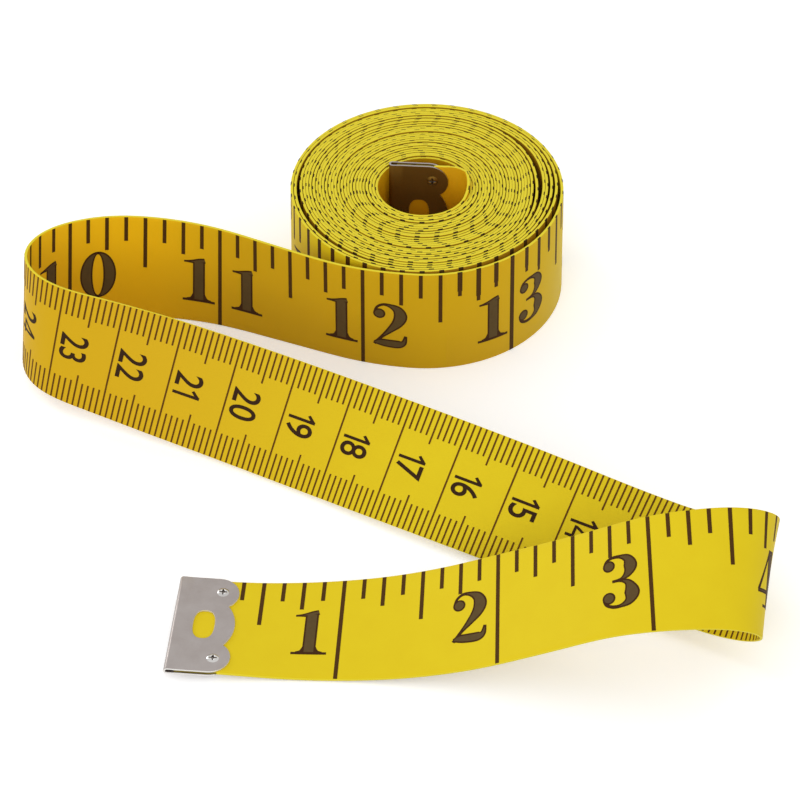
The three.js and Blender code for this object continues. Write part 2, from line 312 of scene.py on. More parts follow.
# Middle line of the wound part: each turn lies inside the last, a little looser at the named places
def coilPoints():
    start = math.radians(coil["takeOffAngle"])
    turns = coil["turns"] + (leaveAngle - start) / (2 * math.pi)
    pitch = (coil["radius"] - coil["eyeRadius"]) / turns
    steps = round(turns * coil["anglesPerTurn"])
    points = []
    for i in range(1, steps + 1):
        turned = turns * i / steps
        angle = start + 2 * math.pi * turned
        uneven = smooth(turned, coil["rippleFrom"], coil["rippleFull"])
        uneven *= smooth(turns - turned, 0, coil["rippleFade"])
        ripple = coil["ripple"] * math.sin(2 * math.pi * turned / coil["ripplePeriod"]) * uneven
        radius = coil["radius"] - pitch * turned - pushedIn(turned, angle, turns) + ripple
        centre = coilCentre + eyeShift * smooth(turned, 0, turns)
        lift = coil["wander"] * wander(turned) * smooth(turned, 0, 1)
        lift += coil["innerRise"] * smooth(turned, turns - coil["riseFrom"], turns)
        points.append(centre + polar(angle, radius) + up * (tape["width"] / 2 + lift))
    print("coil pitch mm", round(pitch * 1000, 3), "turns", round(turns, 2))
    kinkCentre = eyeCentre + Vector((halfClip, setBack - kinkRadius, 0))
    mouth = innerPlace + innerTurn @ Vector((halfClip, 0, 0))
    rise = up * (tape["width"] / 2 + coil["innerRise"])
    shift = mouth - kinkCentre - polar(math.pi / 2, kinkRadius) - rise
    for i in range(1, coil["kinkSteps"] + 1):
        share = i / coil["kinkSteps"]
        angle = leaveAngle + (math.pi / 2 - leaveAngle) * share
        points.append(kinkCentre + polar(angle, kinkRadius) + rise + shift * share)
    points.append(innerPlace + innerTurn @ Vector((clipInset() - halfClip, 0, 0)))
    return points


# Between 0 and 1, different from layer to layer
def wander(turned):
    return 0.5 + sum(share * math.sin(turned * rate + start) for share, rate, start in coil["waves"])


def clipInset():
    slant = math.sin(math.radians(clipFrame["skew"])) * tape["width"] / 2
    return clipFrame["leaf"] + clipFrame["endGap"] + slant


def woundStations(points):
    stations = []
    at = looseLength
    for i, point in enumerate(points[1:], 1):
        before = points[i - 1]
        after = points[min(i + 1, len(points) - 1)]
        at += (point - before).length
        run = after - before
        along = Vector((run.x, run.y, 0)).normalized()
        stations.append((at, point, attitudeFrom(along, up)))
    return stations


looseStations = traceLooseTape()
stations = looseStations + woundStations([looseStations[-1][1], *coilPoints()])
stationMarks = [at for at, _, _ in stations]
tapeLength = stationMarks[-1]
print("tape route done, length", round(tapeLength, 4))


# Place and attitude of the tape's middle line at a distance from its zero end
def tapeFrame(at):
    if at < 0:
        _, place, attitude = stations[0]
        return place + attitude @ Vector((at, 0, 0)), attitude
    at = min(at, tapeLength)
    high = min(max(bisect.bisect_left(stationMarks, at), 1), len(stations) - 1)
    (a, placeA, turnA), (b, placeB, turnB) = stations[high - 1], stations[high]
    share = (at - a) / (b - a)
    return placeA.lerp(placeB, share), turnA.slerp(turnB, share)


# Takes a mesh made flat, x along the tape, y through it and z across it, onto the tape's path
def layOnTape(bm, skewed=False):
    for vert in bm.verts:
        drop = 0
        if skewed and vert.co.y < 0:
            drop = ink["skew"] * max(1 - vert.co.x / ink["skewEnd"], 0) * (tape["width"] / 2 - vert.co.z)
        place, attitude = tapeFrame(vert.co.x - drop)
        vert.co = place + attitude @ Vector((0, vert.co.y, vert.co.z))


def toObject(bm, name, materials, sharpAngle=35):
    bmesh.ops.recalc_face_normals(bm, faces=bm.faces)
    mesh = bpy.data.meshes.new(name)
    bm.to_mesh(mesh)
    bm.free()
    mesh.shade_smooth()
    mesh.set_sharp_from_angle(angle=math.radians(sharpAngle))
    for material in materials:
        mesh.materials.append(material)
    piece = bpy.data.objects.new(name, mesh)
    bpy.context.scene.collection.objects.link(piece)
    return piece


# Extrudes faces and moves the new side away, so that they become a wall; returns the moved points
def thicken(bm, faces, move):
    grown = bmesh.ops.extrude_face_region(bm, geom=faces)["geom"]
    moved = [item for item in grown if isinstance(item, bmesh.types.BMVert)]
    bmesh.ops.translate(bm, verts=moved, vec=move)
    return moved


def roundEdges(bm, edges, reach):
    bmesh.ops.bevel(
        bm,
        geom=edges,
        offset=reach,
        segments=2,
        profile=0.5,
        affect="EDGES",
        material=-1,
    )


def newMaterial(name, **sockets):
    material = bpy.data.materials.new(name)
    material.use_nodes = True
    shader = material.node_tree.nodes["Principled BSDF"]
    for socket, value in sockets.items():
        shader.inputs[socket.replace("_", " ")].default_value = value
    return material, material.node_tree, shader


def srgb(red, green, blue):
    def linear(value):
        share = value / 255
        return share / 12.92 if share <= 0.04045 else ((share + 0.055) / 1.055) ** 2.4

    return (linear(red), linear(green), linear(blue), 1)


# Links a socket to another node's output, or sets it to a plain value
def feed(tree, socket, value):
    if isinstance(value, bpy.types.NodeSocket):
        tree.links.new(value, socket)
    else:
        socket.default_value = value


def mathNode(tree, operation, *values):
    node = tree.nodes.new("ShaderNodeMath")
    node.operation = operation
    for socket, value in zip(node.inputs, values):
        feed(tree, socket, value)
    return node.outputs["Value"]


def addNode(tree, kind, settings=None, **sockets):
    node = tree.nodes.new(kind)
    for name, value in (settings or {}).items():
        setattr(node, name, value)
    for name, value in sockets.items():
        feed(tree, node.inputs[name], value)
    return node


def smoothNode(tree, value, start, end):
    node = tree.nodes.new("ShaderNodeMapRange")
    node.interpolation_type = "SMOOTHSTEP"
    for index, bound in enumerate((value, start, end, 0, 1)):
        feed(tree, node.inputs[index], bound)
    return node.outputs["Result"]


# 1 along a stretch of the strip, with soft ends
def stretchMask(tree, along, start, full, kept, end):
    starting = smoothNode(tree, along, start, full)
    ending = smoothNode(tree, along, end, kept)
    return mathNode(tree, "MULTIPLY", starting, ending)


def mixColour(tree, share, first, second):
    node = tree.nodes.new("ShaderNodeMix")
    node.data_type = "RGBA"
    for index, value in ((0, share), (6, first), (7, second)):
        feed(tree, node.inputs[index], value)
    return node.outputs[2]


def newGroup(name, inputs):
    group = bpy.data.node_groups.new(name, "ShaderNodeTree")
    for socket in inputs:
        group.interface.new_socket(socket, in_out="INPUT", socket_type="NodeSocketFloat")
    group.interface.new_socket("Mask", in_out="OUTPUT", socket_type="NodeSocketFloat")
    given = group.nodes.new("NodeGroupInput")
    result = group.nodes.new("NodeGroupOutput")
    return group, given.outputs, result.inputs["Mask"]


# A row of marks: 1 within half a line's width of every multiple of the spacing, where the edge
# is nearer than the length
def tickRowGroup():
    group, given, mask = newGroup("tickRow", ("Along", "FromEdge", "Spacing", "LineWidth", "Length"))
    halfSpacing = mathNode(group, "MULTIPLY", given["Spacing"], 0.5)
    halfWidth = mathNode(group, "MULTIPLY", given["LineWidth"], 0.5)
    away = mathNode(group, "PINGPONG", given["Along"], halfSpacing)
    onLine = mathNode(group, "LESS_THAN", away, halfWidth)
    nearEdge = mathNode(group, "LESS_THAN", given["FromEdge"], given["Length"])
    group.links.new(mathNode(group, "MULTIPLY", onLine, nearEdge), mask)
    return group


tickRow = tickRowGroup()


# The inch print's marks; the depth through the strip tells its face from the other
def printedTicksGroup():
    group, given, mask = newGroup("printedTicks", ("Along", "Across", "Depth"))
    fromTop = mathNode(group, "SUBTRACT", tape["width"] / 2, given["Across"])
    printedFace = mathNode(group, "LESS_THAN", given["Depth"], cloth["soakDepth"])
    scale = scales["inch"]
    marks = 0
    for parts, length in scale["ticks"].items():
        row = addNode(
            group,
            "ShaderNodeGroup",
            {"node_tree": tickRow},
            Along=given["Along"],
            FromEdge=fromTop,
            Spacing=scale["unit"] / parts,
            LineWidth=scale["tickWidth"] + cloth["soakSpread"],
            Length=length,
        )
        marks = mathNode(group, "MAXIMUM", marks, row.outputs["Mask"])
    group.links.new(mathNode(group, "MULTIPLY", marks, printedFace), mask)
    return group


printedTicks = printedTicksGroup()


# Coated cloth: slightly uneven yellow, paler on the cut edges; on the wound part the inch marks show on them
def clothMaterial(name, wound):
    material, tree, shader = newMaterial(
        name, Roughness=cloth["roughness"], Specular_IOR_Level=cloth["specular"]
    )
    flat = addNode(tree, "ShaderNodeUVMap", {"uv_map": "flat"}).outputs["UV"]
    parts = addNode(tree, "ShaderNodeSeparateXYZ", Vector=flat)
    along, across = parts.outputs["X"], parts.outputs["Y"]
    blotch = addNode(tree, "ShaderNodeTexNoise", Vector=flat, Scale=cloth["blotches"], Detail=3.0)
    body = mixColour(tree, blotch.outputs["Fac"], cloth["deep"], cloth["light"])
    # Painted shade: the middle and back runs are coloured a deeper golden yellow
    paintedShadeShare = stretchMask(tree, along, *cloth["paintedShadeStretch"])
    # Painted bounce light: a brighter orange just past the left loop
    loopPassed = stretchMask(tree, along, *cloth["paintedBounceStretch"])
    body = mixColour(tree, paintedShadeShare, body, mixColour(tree, loopPassed, cloth["paintedShadeGolden"], cloth["paintedBounceOrange"]))
    if wound:
        # Painted shade: the turns inside the outer one are coloured dark, as in the gaps between layers
        inside = smoothNode(tree, along, cloth["betweenFrom"], cloth["betweenFull"])
        body = mixColour(tree, inside, body, cloth["between"])
        # Painted shade and bounce light: the strip seen in the coil's eye is coloured amber
        inEye = mathNode(tree, "GREATER_THAN", along, tapeLength - cloth["eyeLayer"])
        body = mixColour(tree, inEye, body, cloth["paintedEyeShade"])
    fromMiddle = mathNode(tree, "ABSOLUTE", across)
    edgeness = mathNode(tree, "GREATER_THAN", fromMiddle, tape["width"] / 2 - cloth["edgeInset"])
    body = mixColour(tree, edgeness, body, cloth["cutEdge"])
    # Painted shade: the cut edges held between a clip's leaves are coloured dark
    if wound:
        paintedClipShade = mathNode(tree, "GREATER_THAN", along, tapeLength - cloth["paintedClipShadeTo"])
    else:
        nearZero = mathNode(tree, "LESS_THAN", along, cloth["paintedClipShadeTo"])
        paintedClipShade = mathNode(tree, "MULTIPLY", nearZero, mathNode(tree, "LESS_THAN", across, 0))
    body = mixColour(tree, mathNode(tree, "MULTIPLY", edgeness, paintedClipShade), body, cloth["paintedClipShade"])
    if wound:
        depth = addNode(tree, "ShaderNodeAttribute", {"attribute_name": "depth"}).outputs["Fac"]
        settings = {"node_tree": printedTicks}
        ticks = addNode(tree, "ShaderNodeGroup", settings, Along=along, Across=across, Depth=depth)
        body = mixColour(tree, ticks.outputs["Mask"], body, cloth["soaked"])
    tree.links.new(body, shader.inputs["Base Color"])
    weave = addNode(tree, "ShaderNodeTexNoise", Vector=flat, Scale=cloth["threads"], Detail=2.0)
    bump = addNode(
        tree,
        "ShaderNodeBump",
        Strength=cloth["weaveStrength"],
        Distance=cloth["weaveDepth"],
        Height=weave.outputs["Fac"],
    )
    tree.links.new(bump.outputs["Normal"], shader.inputs["Normal"])
    return material


def inkMaterial(name, tone, shade):
    material, tree, shader = newMaterial(name, Roughness=ink["roughness"], Specular_IOR_Level=ink["specular"])
    place = addNode(tree, "ShaderNodeTexCoord").outputs["Object"]
    grain = addNode(tree, "ShaderNodeTexNoise", Vector=place, Scale=ink["grain"], Detail=3.0)
    tree.links.new(mixColour(tree, grain.outputs["Fac"], tone, shade), shader.inputs["Base Color"])
    return material


looseCloth = clothMaterial("looseCloth", False)
woundCloth = clothMaterial("woundCloth", True)
inkTones = {
    "numeralRim": ((70, 40, 8), (56, 30, 6)),
    "numeralFill": ((98, 78, 44), (84, 66, 36)),
    "tickInk": ((84, 54, 12), (68, 42, 8)),
    "digitInk": ((58, 34, 10), (44, 25, 8)),
    "fineInk": ((104, 66, 8), (86, 50, 6)),
}
inkMaterials = [inkMaterial(name, srgb(*tone), srgb(*shade)) for name, (tone, shade) in inkTones.items()]
inkSlots = {name: slot for slot, name in enumerate(inkTones)}


# A stretch of the strip, made flat with a cross line at every mark, then laid on the path
def tapeStretch(name, marks, cellsAcross, material):
    bm = bmesh.new()
    bmesh.ops.create_grid(bm, x_segments=len(marks) - 1, y_segments=cellsAcross, size=0.5)
    for vert in bm.verts:
        mark = marks[round((vert.co.x + 0.5) * (len(marks) - 1))]
        vert.co = Vector((mark, -tape["thickness"] / 2, vert.co.y * tape["width"]))
    thicken(bm, bm.faces[:], (0, tape["thickness"], 0))
    half = tape["width"] / 2
    longEdges = [
        edge
        for edge in bm.edges
        if all(abs(abs(vert.co.z) - half) < sameWithin for vert in edge.verts)
        and abs(edge.verts[0].co.y - edge.verts[1].co.y) < sameWithin
        and abs(edge.verts[0].co.x - edge.verts[1].co.x) > sameWithin
    ]
    roundEdges(bm, longEdges, tape["edgeRound"])
    uvLayer = bm.loops.layers.uv.new("flat")
    depthLayer = bm.verts.layers.float.new("depth")
    for vert in bm.verts:
        vert[depthLayer] = vert.co.y * 2 / tape["thickness"]
    for face in bm.faces:
        for loop in face.loops:
            loop[uvLayer].uv = (loop.vert.co.x, loop.vert.co.z)
    layOnTape(bm)
    return toObject(bm, name, [material])


def evenMarks(start, end, step):
    count = math.ceil((end - start) / step)
    return [start + (end - start) * i / count for i in range(count + 1)]


runEnds = {}
reached = 0
for run in looseRuns:
    runEnds[run["name"]] = (reached, reached + run["length"])
    reached += run["length"]

takeOffSpan = (looseLength - tape["takeOff"], looseLength + tape["takeOff"])
stretches = {
    "frontRun": (tape["frontEnd"], runEnds["frontRun"][1], tape["coarseStep"]),
    "rightLoop": (*runEnds["rightLoop"], tape["fineStep"]),
    "middleRun": (*runEnds["middleRun"], tape["coarseStep"]),
    "leftLoop": (*runEnds["leftLoop"], tape["fineStep"]),
    "backRun": (runEnds["backRun"][0], takeOffSpan[0], tape["coarseStep"]),
    "takeOff": (*takeOffSpan, tape["fineStep"]),
}
carriers = {
    "frontRun": ["front_run"],
    "rightLoop": ["middle_run", "front_run"],
    "middleRun": ["middle_run"],
    "leftLoop": ["back_run", "middle_run"],
    "backRun": ["back_run"],
    "takeOff": ["coil", "back_run"],
    "coil": ["coil"],
}
solidNodes = {
    "frontRun": "tape_front_run",
    "rightLoop": "tape_right_loop",
    "middleRun": "tape_middle_run",
    "leftLoop": "tape_left_loop",
    "backRun": "tape_back_run",
    "coil": "tape_coil",
}


# A piece on a run goes with the run; one on a loop only has its place baked into its points, and nothing
# bends it between the runs at its two ends
def carry(piece, stretch):
    bodies = carriers[stretch]
    if len(bodies) == 1:
        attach(piece, bodies[0])
        return
    start, end, _ = stretches[stretch]
    inset = (end - start) * tape["blendInset"]
    low, high = tapeFrame(start + inset)[0], tapeFrame(end - inset)[0]
    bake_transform(piece)


tapePieces = {}
for stretch, (start, end, step) in stretches.items():
    marks = evenMarks(start, end, step)
    tapePieces[stretch] = tapeStretch("tape_" + stretch, marks, tape["cellsAcross"], looseCloth)
coilMarks = [takeOffSpan[1]] + [mark for mark in stationMarks if mark > takeOffSpan[1] + tape["fineStep"]]
tapePieces["coil"] = tapeStretch("tape_coilTurns", coilMarks, tape["cellsAcrossCoil"], woundCloth)
for stretch, piece in tapePieces.items():
    carry(piece, stretch)
    if stretch in solidNodes:
        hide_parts(solidNodes[stretch])
print("tape stretches done")


# Numerals of the inch face in millimetres: strokes through points of right, up and width; rings of two ovals
# given by centre and outer and inner half axes; balls by centre and diameter; bars by two corners
numerals = {
    "0": {"width": 6.1, "rings": [(3.05, 4.5, 3.05, 4.5, 0.92, 4.0)]},
    "1": {
        "width": 5.5,
        "strokes": [
            [(3.78, 8.55, 0.95), (2.9, 8.3, 1.05), (1.8, 8.05, 0.75), (0.9, 7.95, 0.45), (0.2, 7.9, 0.35)],
            [(0.7, 0.4, 0.3), (1.5, 0.62, 0.5), (2.0, 1.5, 0.6)],
            [(4.8, 0.4, 0.3), (4.0, 0.62, 0.5), (3.5, 1.5, 0.6)],
        ],
        "bars": [(0, 0, 5.5, 0.45), (1.72, 0.2, 3.78, 8.35)],
    },
    "2": {
        "width": 5.8,
        "strokes": [
            [(0.35, 7.2, 0.4), (0.75, 8.3, 0.45), (1.7, 8.98, 0.5), (2.9, 8.85, 0.8), (4.15, 8.1, 1.7),
             (4.65, 6.75, 2.25), (4.15, 5.3, 1.9), (2.9, 3.7, 1.15), (1.6, 2.2, 0.6), (0.3, 0.5, 0.55)],
            [(0.3, 0.8, 0.6), (1.3, 0.95, 1.4), (2.8, 0.85, 1.65), (4.4, 0.85, 1.6), (5.2, 1.3, 1.0),
             (5.5, 2.65, 0.5)],
        ],
        "balls": [(1.15, 7.05, 2.05)],
    },
    "3": {
        "width": 6.1,
        "strokes": [
            [(0.5, 7.7, 0.4), (0.95, 8.6, 0.45), (1.9, 9.02, 0.5), (3.2, 8.95, 0.7), (4.35, 8.4, 1.5),
             (4.8, 7.15, 2.2), (4.35, 5.85, 1.4), (3.3, 5.0, 0.6), (1.8, 4.8, 0.45)],
            [(1.8, 4.8, 0.45), (3.3, 4.72, 0.55), (4.4, 4.1, 1.3), (4.9, 2.5, 2.45), (4.4, 1.05, 1.5),
             (3.2, 0.38, 0.7), (1.9, 0.32, 0.6), (0.8, 0.85, 0.5), (0.4, 1.7, 0.45)],
        ],
        "balls": [(1.3, 7.6, 2.0), (1.2, 1.95, 2.1)],
    },
    "4": {
        "width": 6.4,
        "strokes": [[(3.5, 8.95, 0.5), (2.4, 6.6, 0.4), (0.35, 2.6, 0.5)]],
        "bars": [(0.2, 2.2, 6.3, 2.85), (3.2, 0.2, 5.25, 9.15), (1.7, 0, 6.4, 0.45)],
    },
    "5": {
        "width": 6.0,
        "strokes": [
            [(0.9, 8.9, 0.45), (0.8, 6.9, 0.45), (0.85, 4.9, 0.45)],
            [(0.85, 5.0, 0.4), (1.9, 5.75, 0.5), (3.2, 5.7, 0.9), (4.4, 4.8, 1.8), (4.75, 3.1, 2.35),
             (4.3, 1.3, 1.5), (3.1, 0.4, 0.7), (1.8, 0.35, 0.6), (0.8, 0.9, 0.5), (0.4, 1.8, 0.45)],
            [(0.9, 8.5, 0.9), (2.4, 8.3, 1.5), (4.0, 8.45, 1.2), (5.1, 9.0, 0.5)],
        ],
        "balls": [(1.3, 1.95, 2.0)],
    },
    "6": {
        "width": 6.1,
        "strokes": [
            [(5.0, 7.7, 0.4), (4.4, 8.7, 0.45), (3.5, 9.0, 0.5), (2.4, 8.4, 1.2), (1.5, 6.6, 2.1),
             (1.25, 4.2, 2.2), (1.4, 2.4, 1.9)],
        ],
        "rings": [(3.2, 2.75, 2.85, 2.75, 0.95, 2.3)],
        "balls": [(4.4, 7.5, 1.9)],
    },
    "7": {
        "width": 5.9,
        "strokes": [
            [(0.3, 7.1, 0.45), (0.5, 8.3, 0.5), (1.4, 8.45, 1.3), (3.0, 8.25, 1.6), (4.8, 8.6, 1.0),
             (5.6, 9.0, 0.5)],
            [(5.5, 8.9, 0.45), (4.3, 6.8, 0.9), (3.3, 4.6, 1.8), (2.9, 2.2, 2.5), (2.9, 0.1, 2.5)],
        ],
    },
    "8": {
        "width": 6.0,
        "rings": [(3.0, 6.9, 2.45, 2.3, 0.95, 1.9), (3.0, 2.5, 2.95, 2.5, 1.05, 2.05)],
    },
}


perMetre = 1000  # the numerals are drawn in millimetres
drawing = {
    "strokeSteps": 5,  # from one point of a stroke to the next
    "ringSteps": 40,
    "ballSteps": 16,
    "leastStroke": 0.03,  # a stroke ends where half its width is less
    "leastBar": 0.05,
    "joinWithin": 1e-5,
}
inchNumeral = {
    "height": 9.2 / perMetre,
    "top": 0.0056,
    "leftGap": 0.0018,
    "pairGap": 0.0009,
    "secondGaps": {"0": 0.0018, "1": 0.00205, "2": 0.0016},
    "otherGap": 0.00135,
}
plainNumeral = {
    "height": 0.0047,
    "width": 0.0023,
    "gap": 0.00035,
    "fromLine": 0.00095,
    "shift": 0.0001,
    "heavier": 0.008,
}
# The digits of the centimetre face that aren't the built-in letter's, one high
plainDrawn = {
    "1": {
        "width": 0.33,
        "strokes": [[(0.26, 0, 0.13), (0.26, 1, 0.13)], [(0.26, 0.95, 0.13), (0, 0.72, 0.11)]],
    },
    "4": {
        "width": 0.68,
        "strokes": [
            [(0.5, 0, 0.13), (0.5, 1, 0.13)],
            [(0.47, 0.96, 0.11), (0.05, 0.3, 0.11)],
            [(0, 0.27, 0.1), (0.68, 0.27, 0.1)],
        ],
    },
}


# The 9 is the 6 turned round
def drawnDigit(digit):
    return numerals["6" if digit == "9" else digit]


def digitWidth(digit):
    return drawnDigit(digit)["width"] / perMetre


# A smooth curve's value a share t of the way from b to c, where a comes before them and d after
def curveValue(a, b, c, d, t):
    return 0.5 * (2 * b + (c - a) * t + (2 * a - 5 * b + 4 * c - d) * t**2 + (3 * b - a - 3 * c + d) * t**3)


# The smooth strip of quads that a stroke covers, each side drawn in by the margin
def strokeQuads(points, margin):
    samples = []
    ends = [points[0], *points, points[-1]]
    for before, start, end, after in zip(ends, ends[1:], ends[2:], ends[3:]):
        for i in range(drawing["strokeSteps"]):
            t = i / drawing["strokeSteps"]
            samples.append([curveValue(*values, t) for values in zip(before, start, end, after)])
    samples.append(list(points[-1]))
    rims = []
    for i, (x, y, width) in enumerate(samples):
        a, b = samples[max(i - 1, 0)], samples[min(i + 1, len(samples) - 1)]
        run = Vector((b[0] - a[0], b[1] - a[1])).normalized()
        reach = Vector((-run.y, run.x)) * (width / 2 - margin)
        middle = Vector((x, y))
        rims.append((middle + reach, middle - reach, width / 2 - margin))
    return [
        [leftA, leftB, rightB, rightA]
        for (leftA, rightA, roomA), (leftB, rightB, roomB) in zip(rims, rims[1:])
        if min(roomA, roomB) > drawing["leastStroke"]
    ]


def ringQuads(ring, margin):
    x, y, wide, tall, innerWide, innerTall = ring
    outer, inner = (wide - margin, tall - margin), (innerWide + margin, innerTall + margin)
    quads = []
    steps = drawing["ringSteps"]
    for i in range(steps):
        spokes = []
        for angle in (2 * math.pi * i / steps, 2 * math.pi * (i + 1) / steps):
            spoke = Vector((math.cos(angle), math.sin(angle)))
            spokes.append([Vector((spoke.x * axes[0], spoke.y * axes[1])) for axes in (outer, inner)])
        if all((far - near).dot(far) > 0 for far, near in spokes):
            (farA, nearA), (farB, nearB) = spokes
            quads.append([Vector((x, y)) + corner for corner in (farA, farB, nearB, nearA)])
    return quads


def ballRing(ball, margin):
    x, y, diameter = ball
    spokes = [2 * math.pi * i / drawing["ballSteps"] for i in range(drawing["ballSteps"])]
    radius = diameter / 2 - margin
    return [Vector((x + math.cos(angle) * radius, y + math.sin(angle) * radius)) for angle in spokes]


def barCorners(bar, margin):
    left, low, right, high = bar[0] + margin, bar[1] + margin, bar[2] - margin, bar[3] - margin
    return [Vector(corner) for corner in ((left, low), (right, low), (right, high), (left, high))]


# Joins overlapping polygons into one flat shape of triangles
def joined(polygons):
    coords, rings = [], []
    for polygon in polygons:
        turn = sum(a.x * b.y - b.x * a.y for a, b in zip(polygon, polygon[1:] + polygon[:1]))
        ordered = polygon if turn > 0 else polygon[::-1]
        rings.append(list(range(len(coords), len(coords) + len(ordered))))
        coords += ordered
    verts, _, faces, _, _, sources = delaunay_2d_cdt(coords, [], rings, 1, drawing["joinWithin"])
    return verts, [face for face, source in zip(faces, sources) if source]


def numeralShape(digit, margin):
    drawn = drawnDigit(digit)
    polygons = []
    for stroke in drawn.get("strokes", []):
        polygons += strokeQuads(stroke, margin)
    for ring in drawn.get("rings", []):
        polygons += ringQuads(ring, margin)
    polygons += [ballRing(ball, margin) for ball in drawn.get("balls", [])]
    polygons += [
        barCorners(bar, margin)
        for bar in drawn.get("bars", [])
        if min(bar[2] - bar[0], bar[3] - bar[1]) > 2 * margin + drawing["leastBar"]
    ]
    if digit == "9":
        width, height = drawn["width"], inchNumeral["height"] * perMetre
        polygons = [[Vector((width - x, height - y)) for x, y in polygon] for polygon in polygons]
    return joined(polygons)


# A digit of the built-in sans letter, made heavier, one high and with its own width
def plainDigitShape(digit):
    letter = bpy.data.curves.new("digit", "FONT")
    letter.body = digit
    letter.offset = plainNumeral["heavier"]
    shown = bpy.data.objects.new("digit", letter)
    bpy.context.scene.collection.objects.link(shown)
    mesh = bpy.data.meshes.new_from_object(shown.evaluated_get(bpy.context.evaluated_depsgraph_get()))
    low = Vector([min(vert.co[axis] for vert in mesh.vertices) for axis in (0, 1)])
    high = Vector([max(vert.co[axis] for vert in mesh.vertices) for axis in (0, 1)])
    verts = [(vert.co.xy - low) / (high.y - low.y) for vert in mesh.vertices]
    faces = [list(polygon.vertices) for polygon in mesh.polygons]
    bpy.data.objects.remove(shown)
    bpy.data.curves.remove(letter)
    bpy.data.meshes.remove(mesh)
    return verts, faces, (high.x - low.x) / (high.y - low.y)


def cutAcross(bm, geom, axis, low, high):
    first, last = math.ceil(low / ink["cell"] - 0.5), math.floor(high / ink["cell"] - 0.5)
    for i in range(first, last + 1):
        place = axis * ((i + 0.5) * ink["cell"])
        geom = bmesh.ops.bisect_plane(bm, geom=geom, dist=sameWithin, plane_co=place, plane_no=axis)["geom"]
    return geom


# A tick of a scale as a thin closed block on its face of the tape
def printTick(bm, at, low, high, width, side, tone):
    middle = side * (tape["thickness"] / 2 + (ink["height"] - ink["sunk"]) / 2)
    size = Vector((width, ink["height"] + ink["sunk"], high - low))
    place = Matrix.LocRotScale(Vector((at, middle, (low + high) / 2)), None, size)
    verts = bmesh.ops.create_cube(bm, size=1, matrix=place)["verts"]
    faces = {face for vert in verts for face in vert.link_faces}
    edges = {edge for vert in verts for edge in vert.link_edges}
    for face in faces:
        face.material_index = inkSlots[tone]
    cutAcross(bm, [*verts, *edges, *faces], up, low, high)


# A flat shape as a thin closed plate on one face; toTape gives a point's along and across places
def printShape(bm, shape, toTape, side, height, tone):
    points, faces = shape
    made = {i: bm.verts.new() for i in sorted({i for face in faces for i in face})}
    for i, vert in made.items():
        along, across = toTape(points[i])
        vert.co = (along, side * (tape["thickness"] / 2 - ink["sunk"]), across)
    base = [bm.faces.new([made[i] for i in face]) for face in faces]
    for face in base:
        face.material_index = inkSlots[tone]
    lifted = thicken(bm, base, (0, side * (height + ink["sunk"]), 0))
    verts = {*made.values(), *lifted}
    edges = {edge for vert in verts for edge in vert.link_edges}
    allFaces = {face for vert in verts for face in vert.link_faces}
    places = [vert.co.copy() for vert in verts]
    geom = [*verts, *edges, *allFaces]
    for axis in (Vector((1, 0, 0)), up):
        reached = [place.dot(axis) for place in places]
        geom = cutAcross(bm, geom, axis, min(reached), max(reached))


def inchDrift(at):
    share = min(max((at - ink["driftFrom"]) / (ink["driftTo"] - ink["driftFrom"]), 0), 1)
    return ink["drift"] * share


numeralPlates = {
    digit: {"rim": numeralShape(digit, 0), "fill": numeralShape(digit, ink["rim"] * perMetre)}
    for digit in "0123456789"
}
plainDigits = {digit: plainDigitShape(digit) for digit in "0123456789"}
for digit, drawn in plainDrawn.items():
    quads = [quad for stroke in drawn["strokes"] for quad in strokeQuads(stroke, 0)]
    plainDigits[digit] = (*joined(quads), drawn["width"])
print("digits drawn")


def stretchOf(at):
    for stretch, (start, end, _) in stretches.items():
        if start <= at < end:
            return stretch
    return "coil" if at >= takeOffSpan[1] else None


def printInchDigit(digit, left):
    stretch = stretchOf(left + digitWidth(digit) / 2)
    foot = tape["width"] / 2 - inchNumeral["top"] - inchNumeral["height"] - inchDrift(left)
    for part, height, tone in (
        ("rim", ink["height"], "numeralRim"),
        ("fill", ink["fillHeight"], "numeralFill"),
    ):
        printShape(
            inkMeshes[stretch],
            numeralPlates[digit][part],
            lambda point: (left + point.x / perMetre, foot + point.y / perMetre),
            scales["inch"]["side"],
            height,
            tone,
        )


def printInchNumeral(number):
    digits = str(number)
    line = number * inch
    if len(digits) == 1:
        printInchDigit(digits, line - inchNumeral["leftGap"] - digitWidth(digits))
        return
    first, second = digits
    printInchDigit(first, line - inchNumeral["pairGap"] - digitWidth(first))
    printInchDigit(second, line + inchNumeral["secondGaps"].get(second, inchNumeral["otherGap"]))


# The digits' tops point to the zero end, and a number reads down across the tape
def printPlainNumeral(number):
    line = number * scales["centimetre"]["unit"]
    foot = line - plainNumeral["fromLine"]
    digits = str(number)
    size = plainNumeral["height"]
    squeeze = plainNumeral["width"] / size / plainDigits["0"][2]
    widths = [plainDigits[digit][2] * size * squeeze for digit in digits]
    total = sum(widths) + plainNumeral["gap"] * (len(digits) - 1)
    right = plainNumeral["shift"] + total / 2
    for digit, width in zip(digits, widths):
        points, faces, _ = plainDigits[digit]
        printShape(
            inkMeshes[stretchOf(foot - size / 2)],
            (points, faces),
            lambda point: (foot - point.y * size, right - point.x * size * squeeze),
            scales["centimetre"]["side"],
            ink["height"],
            "digitInk",
        )
        right -= width + plainNumeral["gap"]


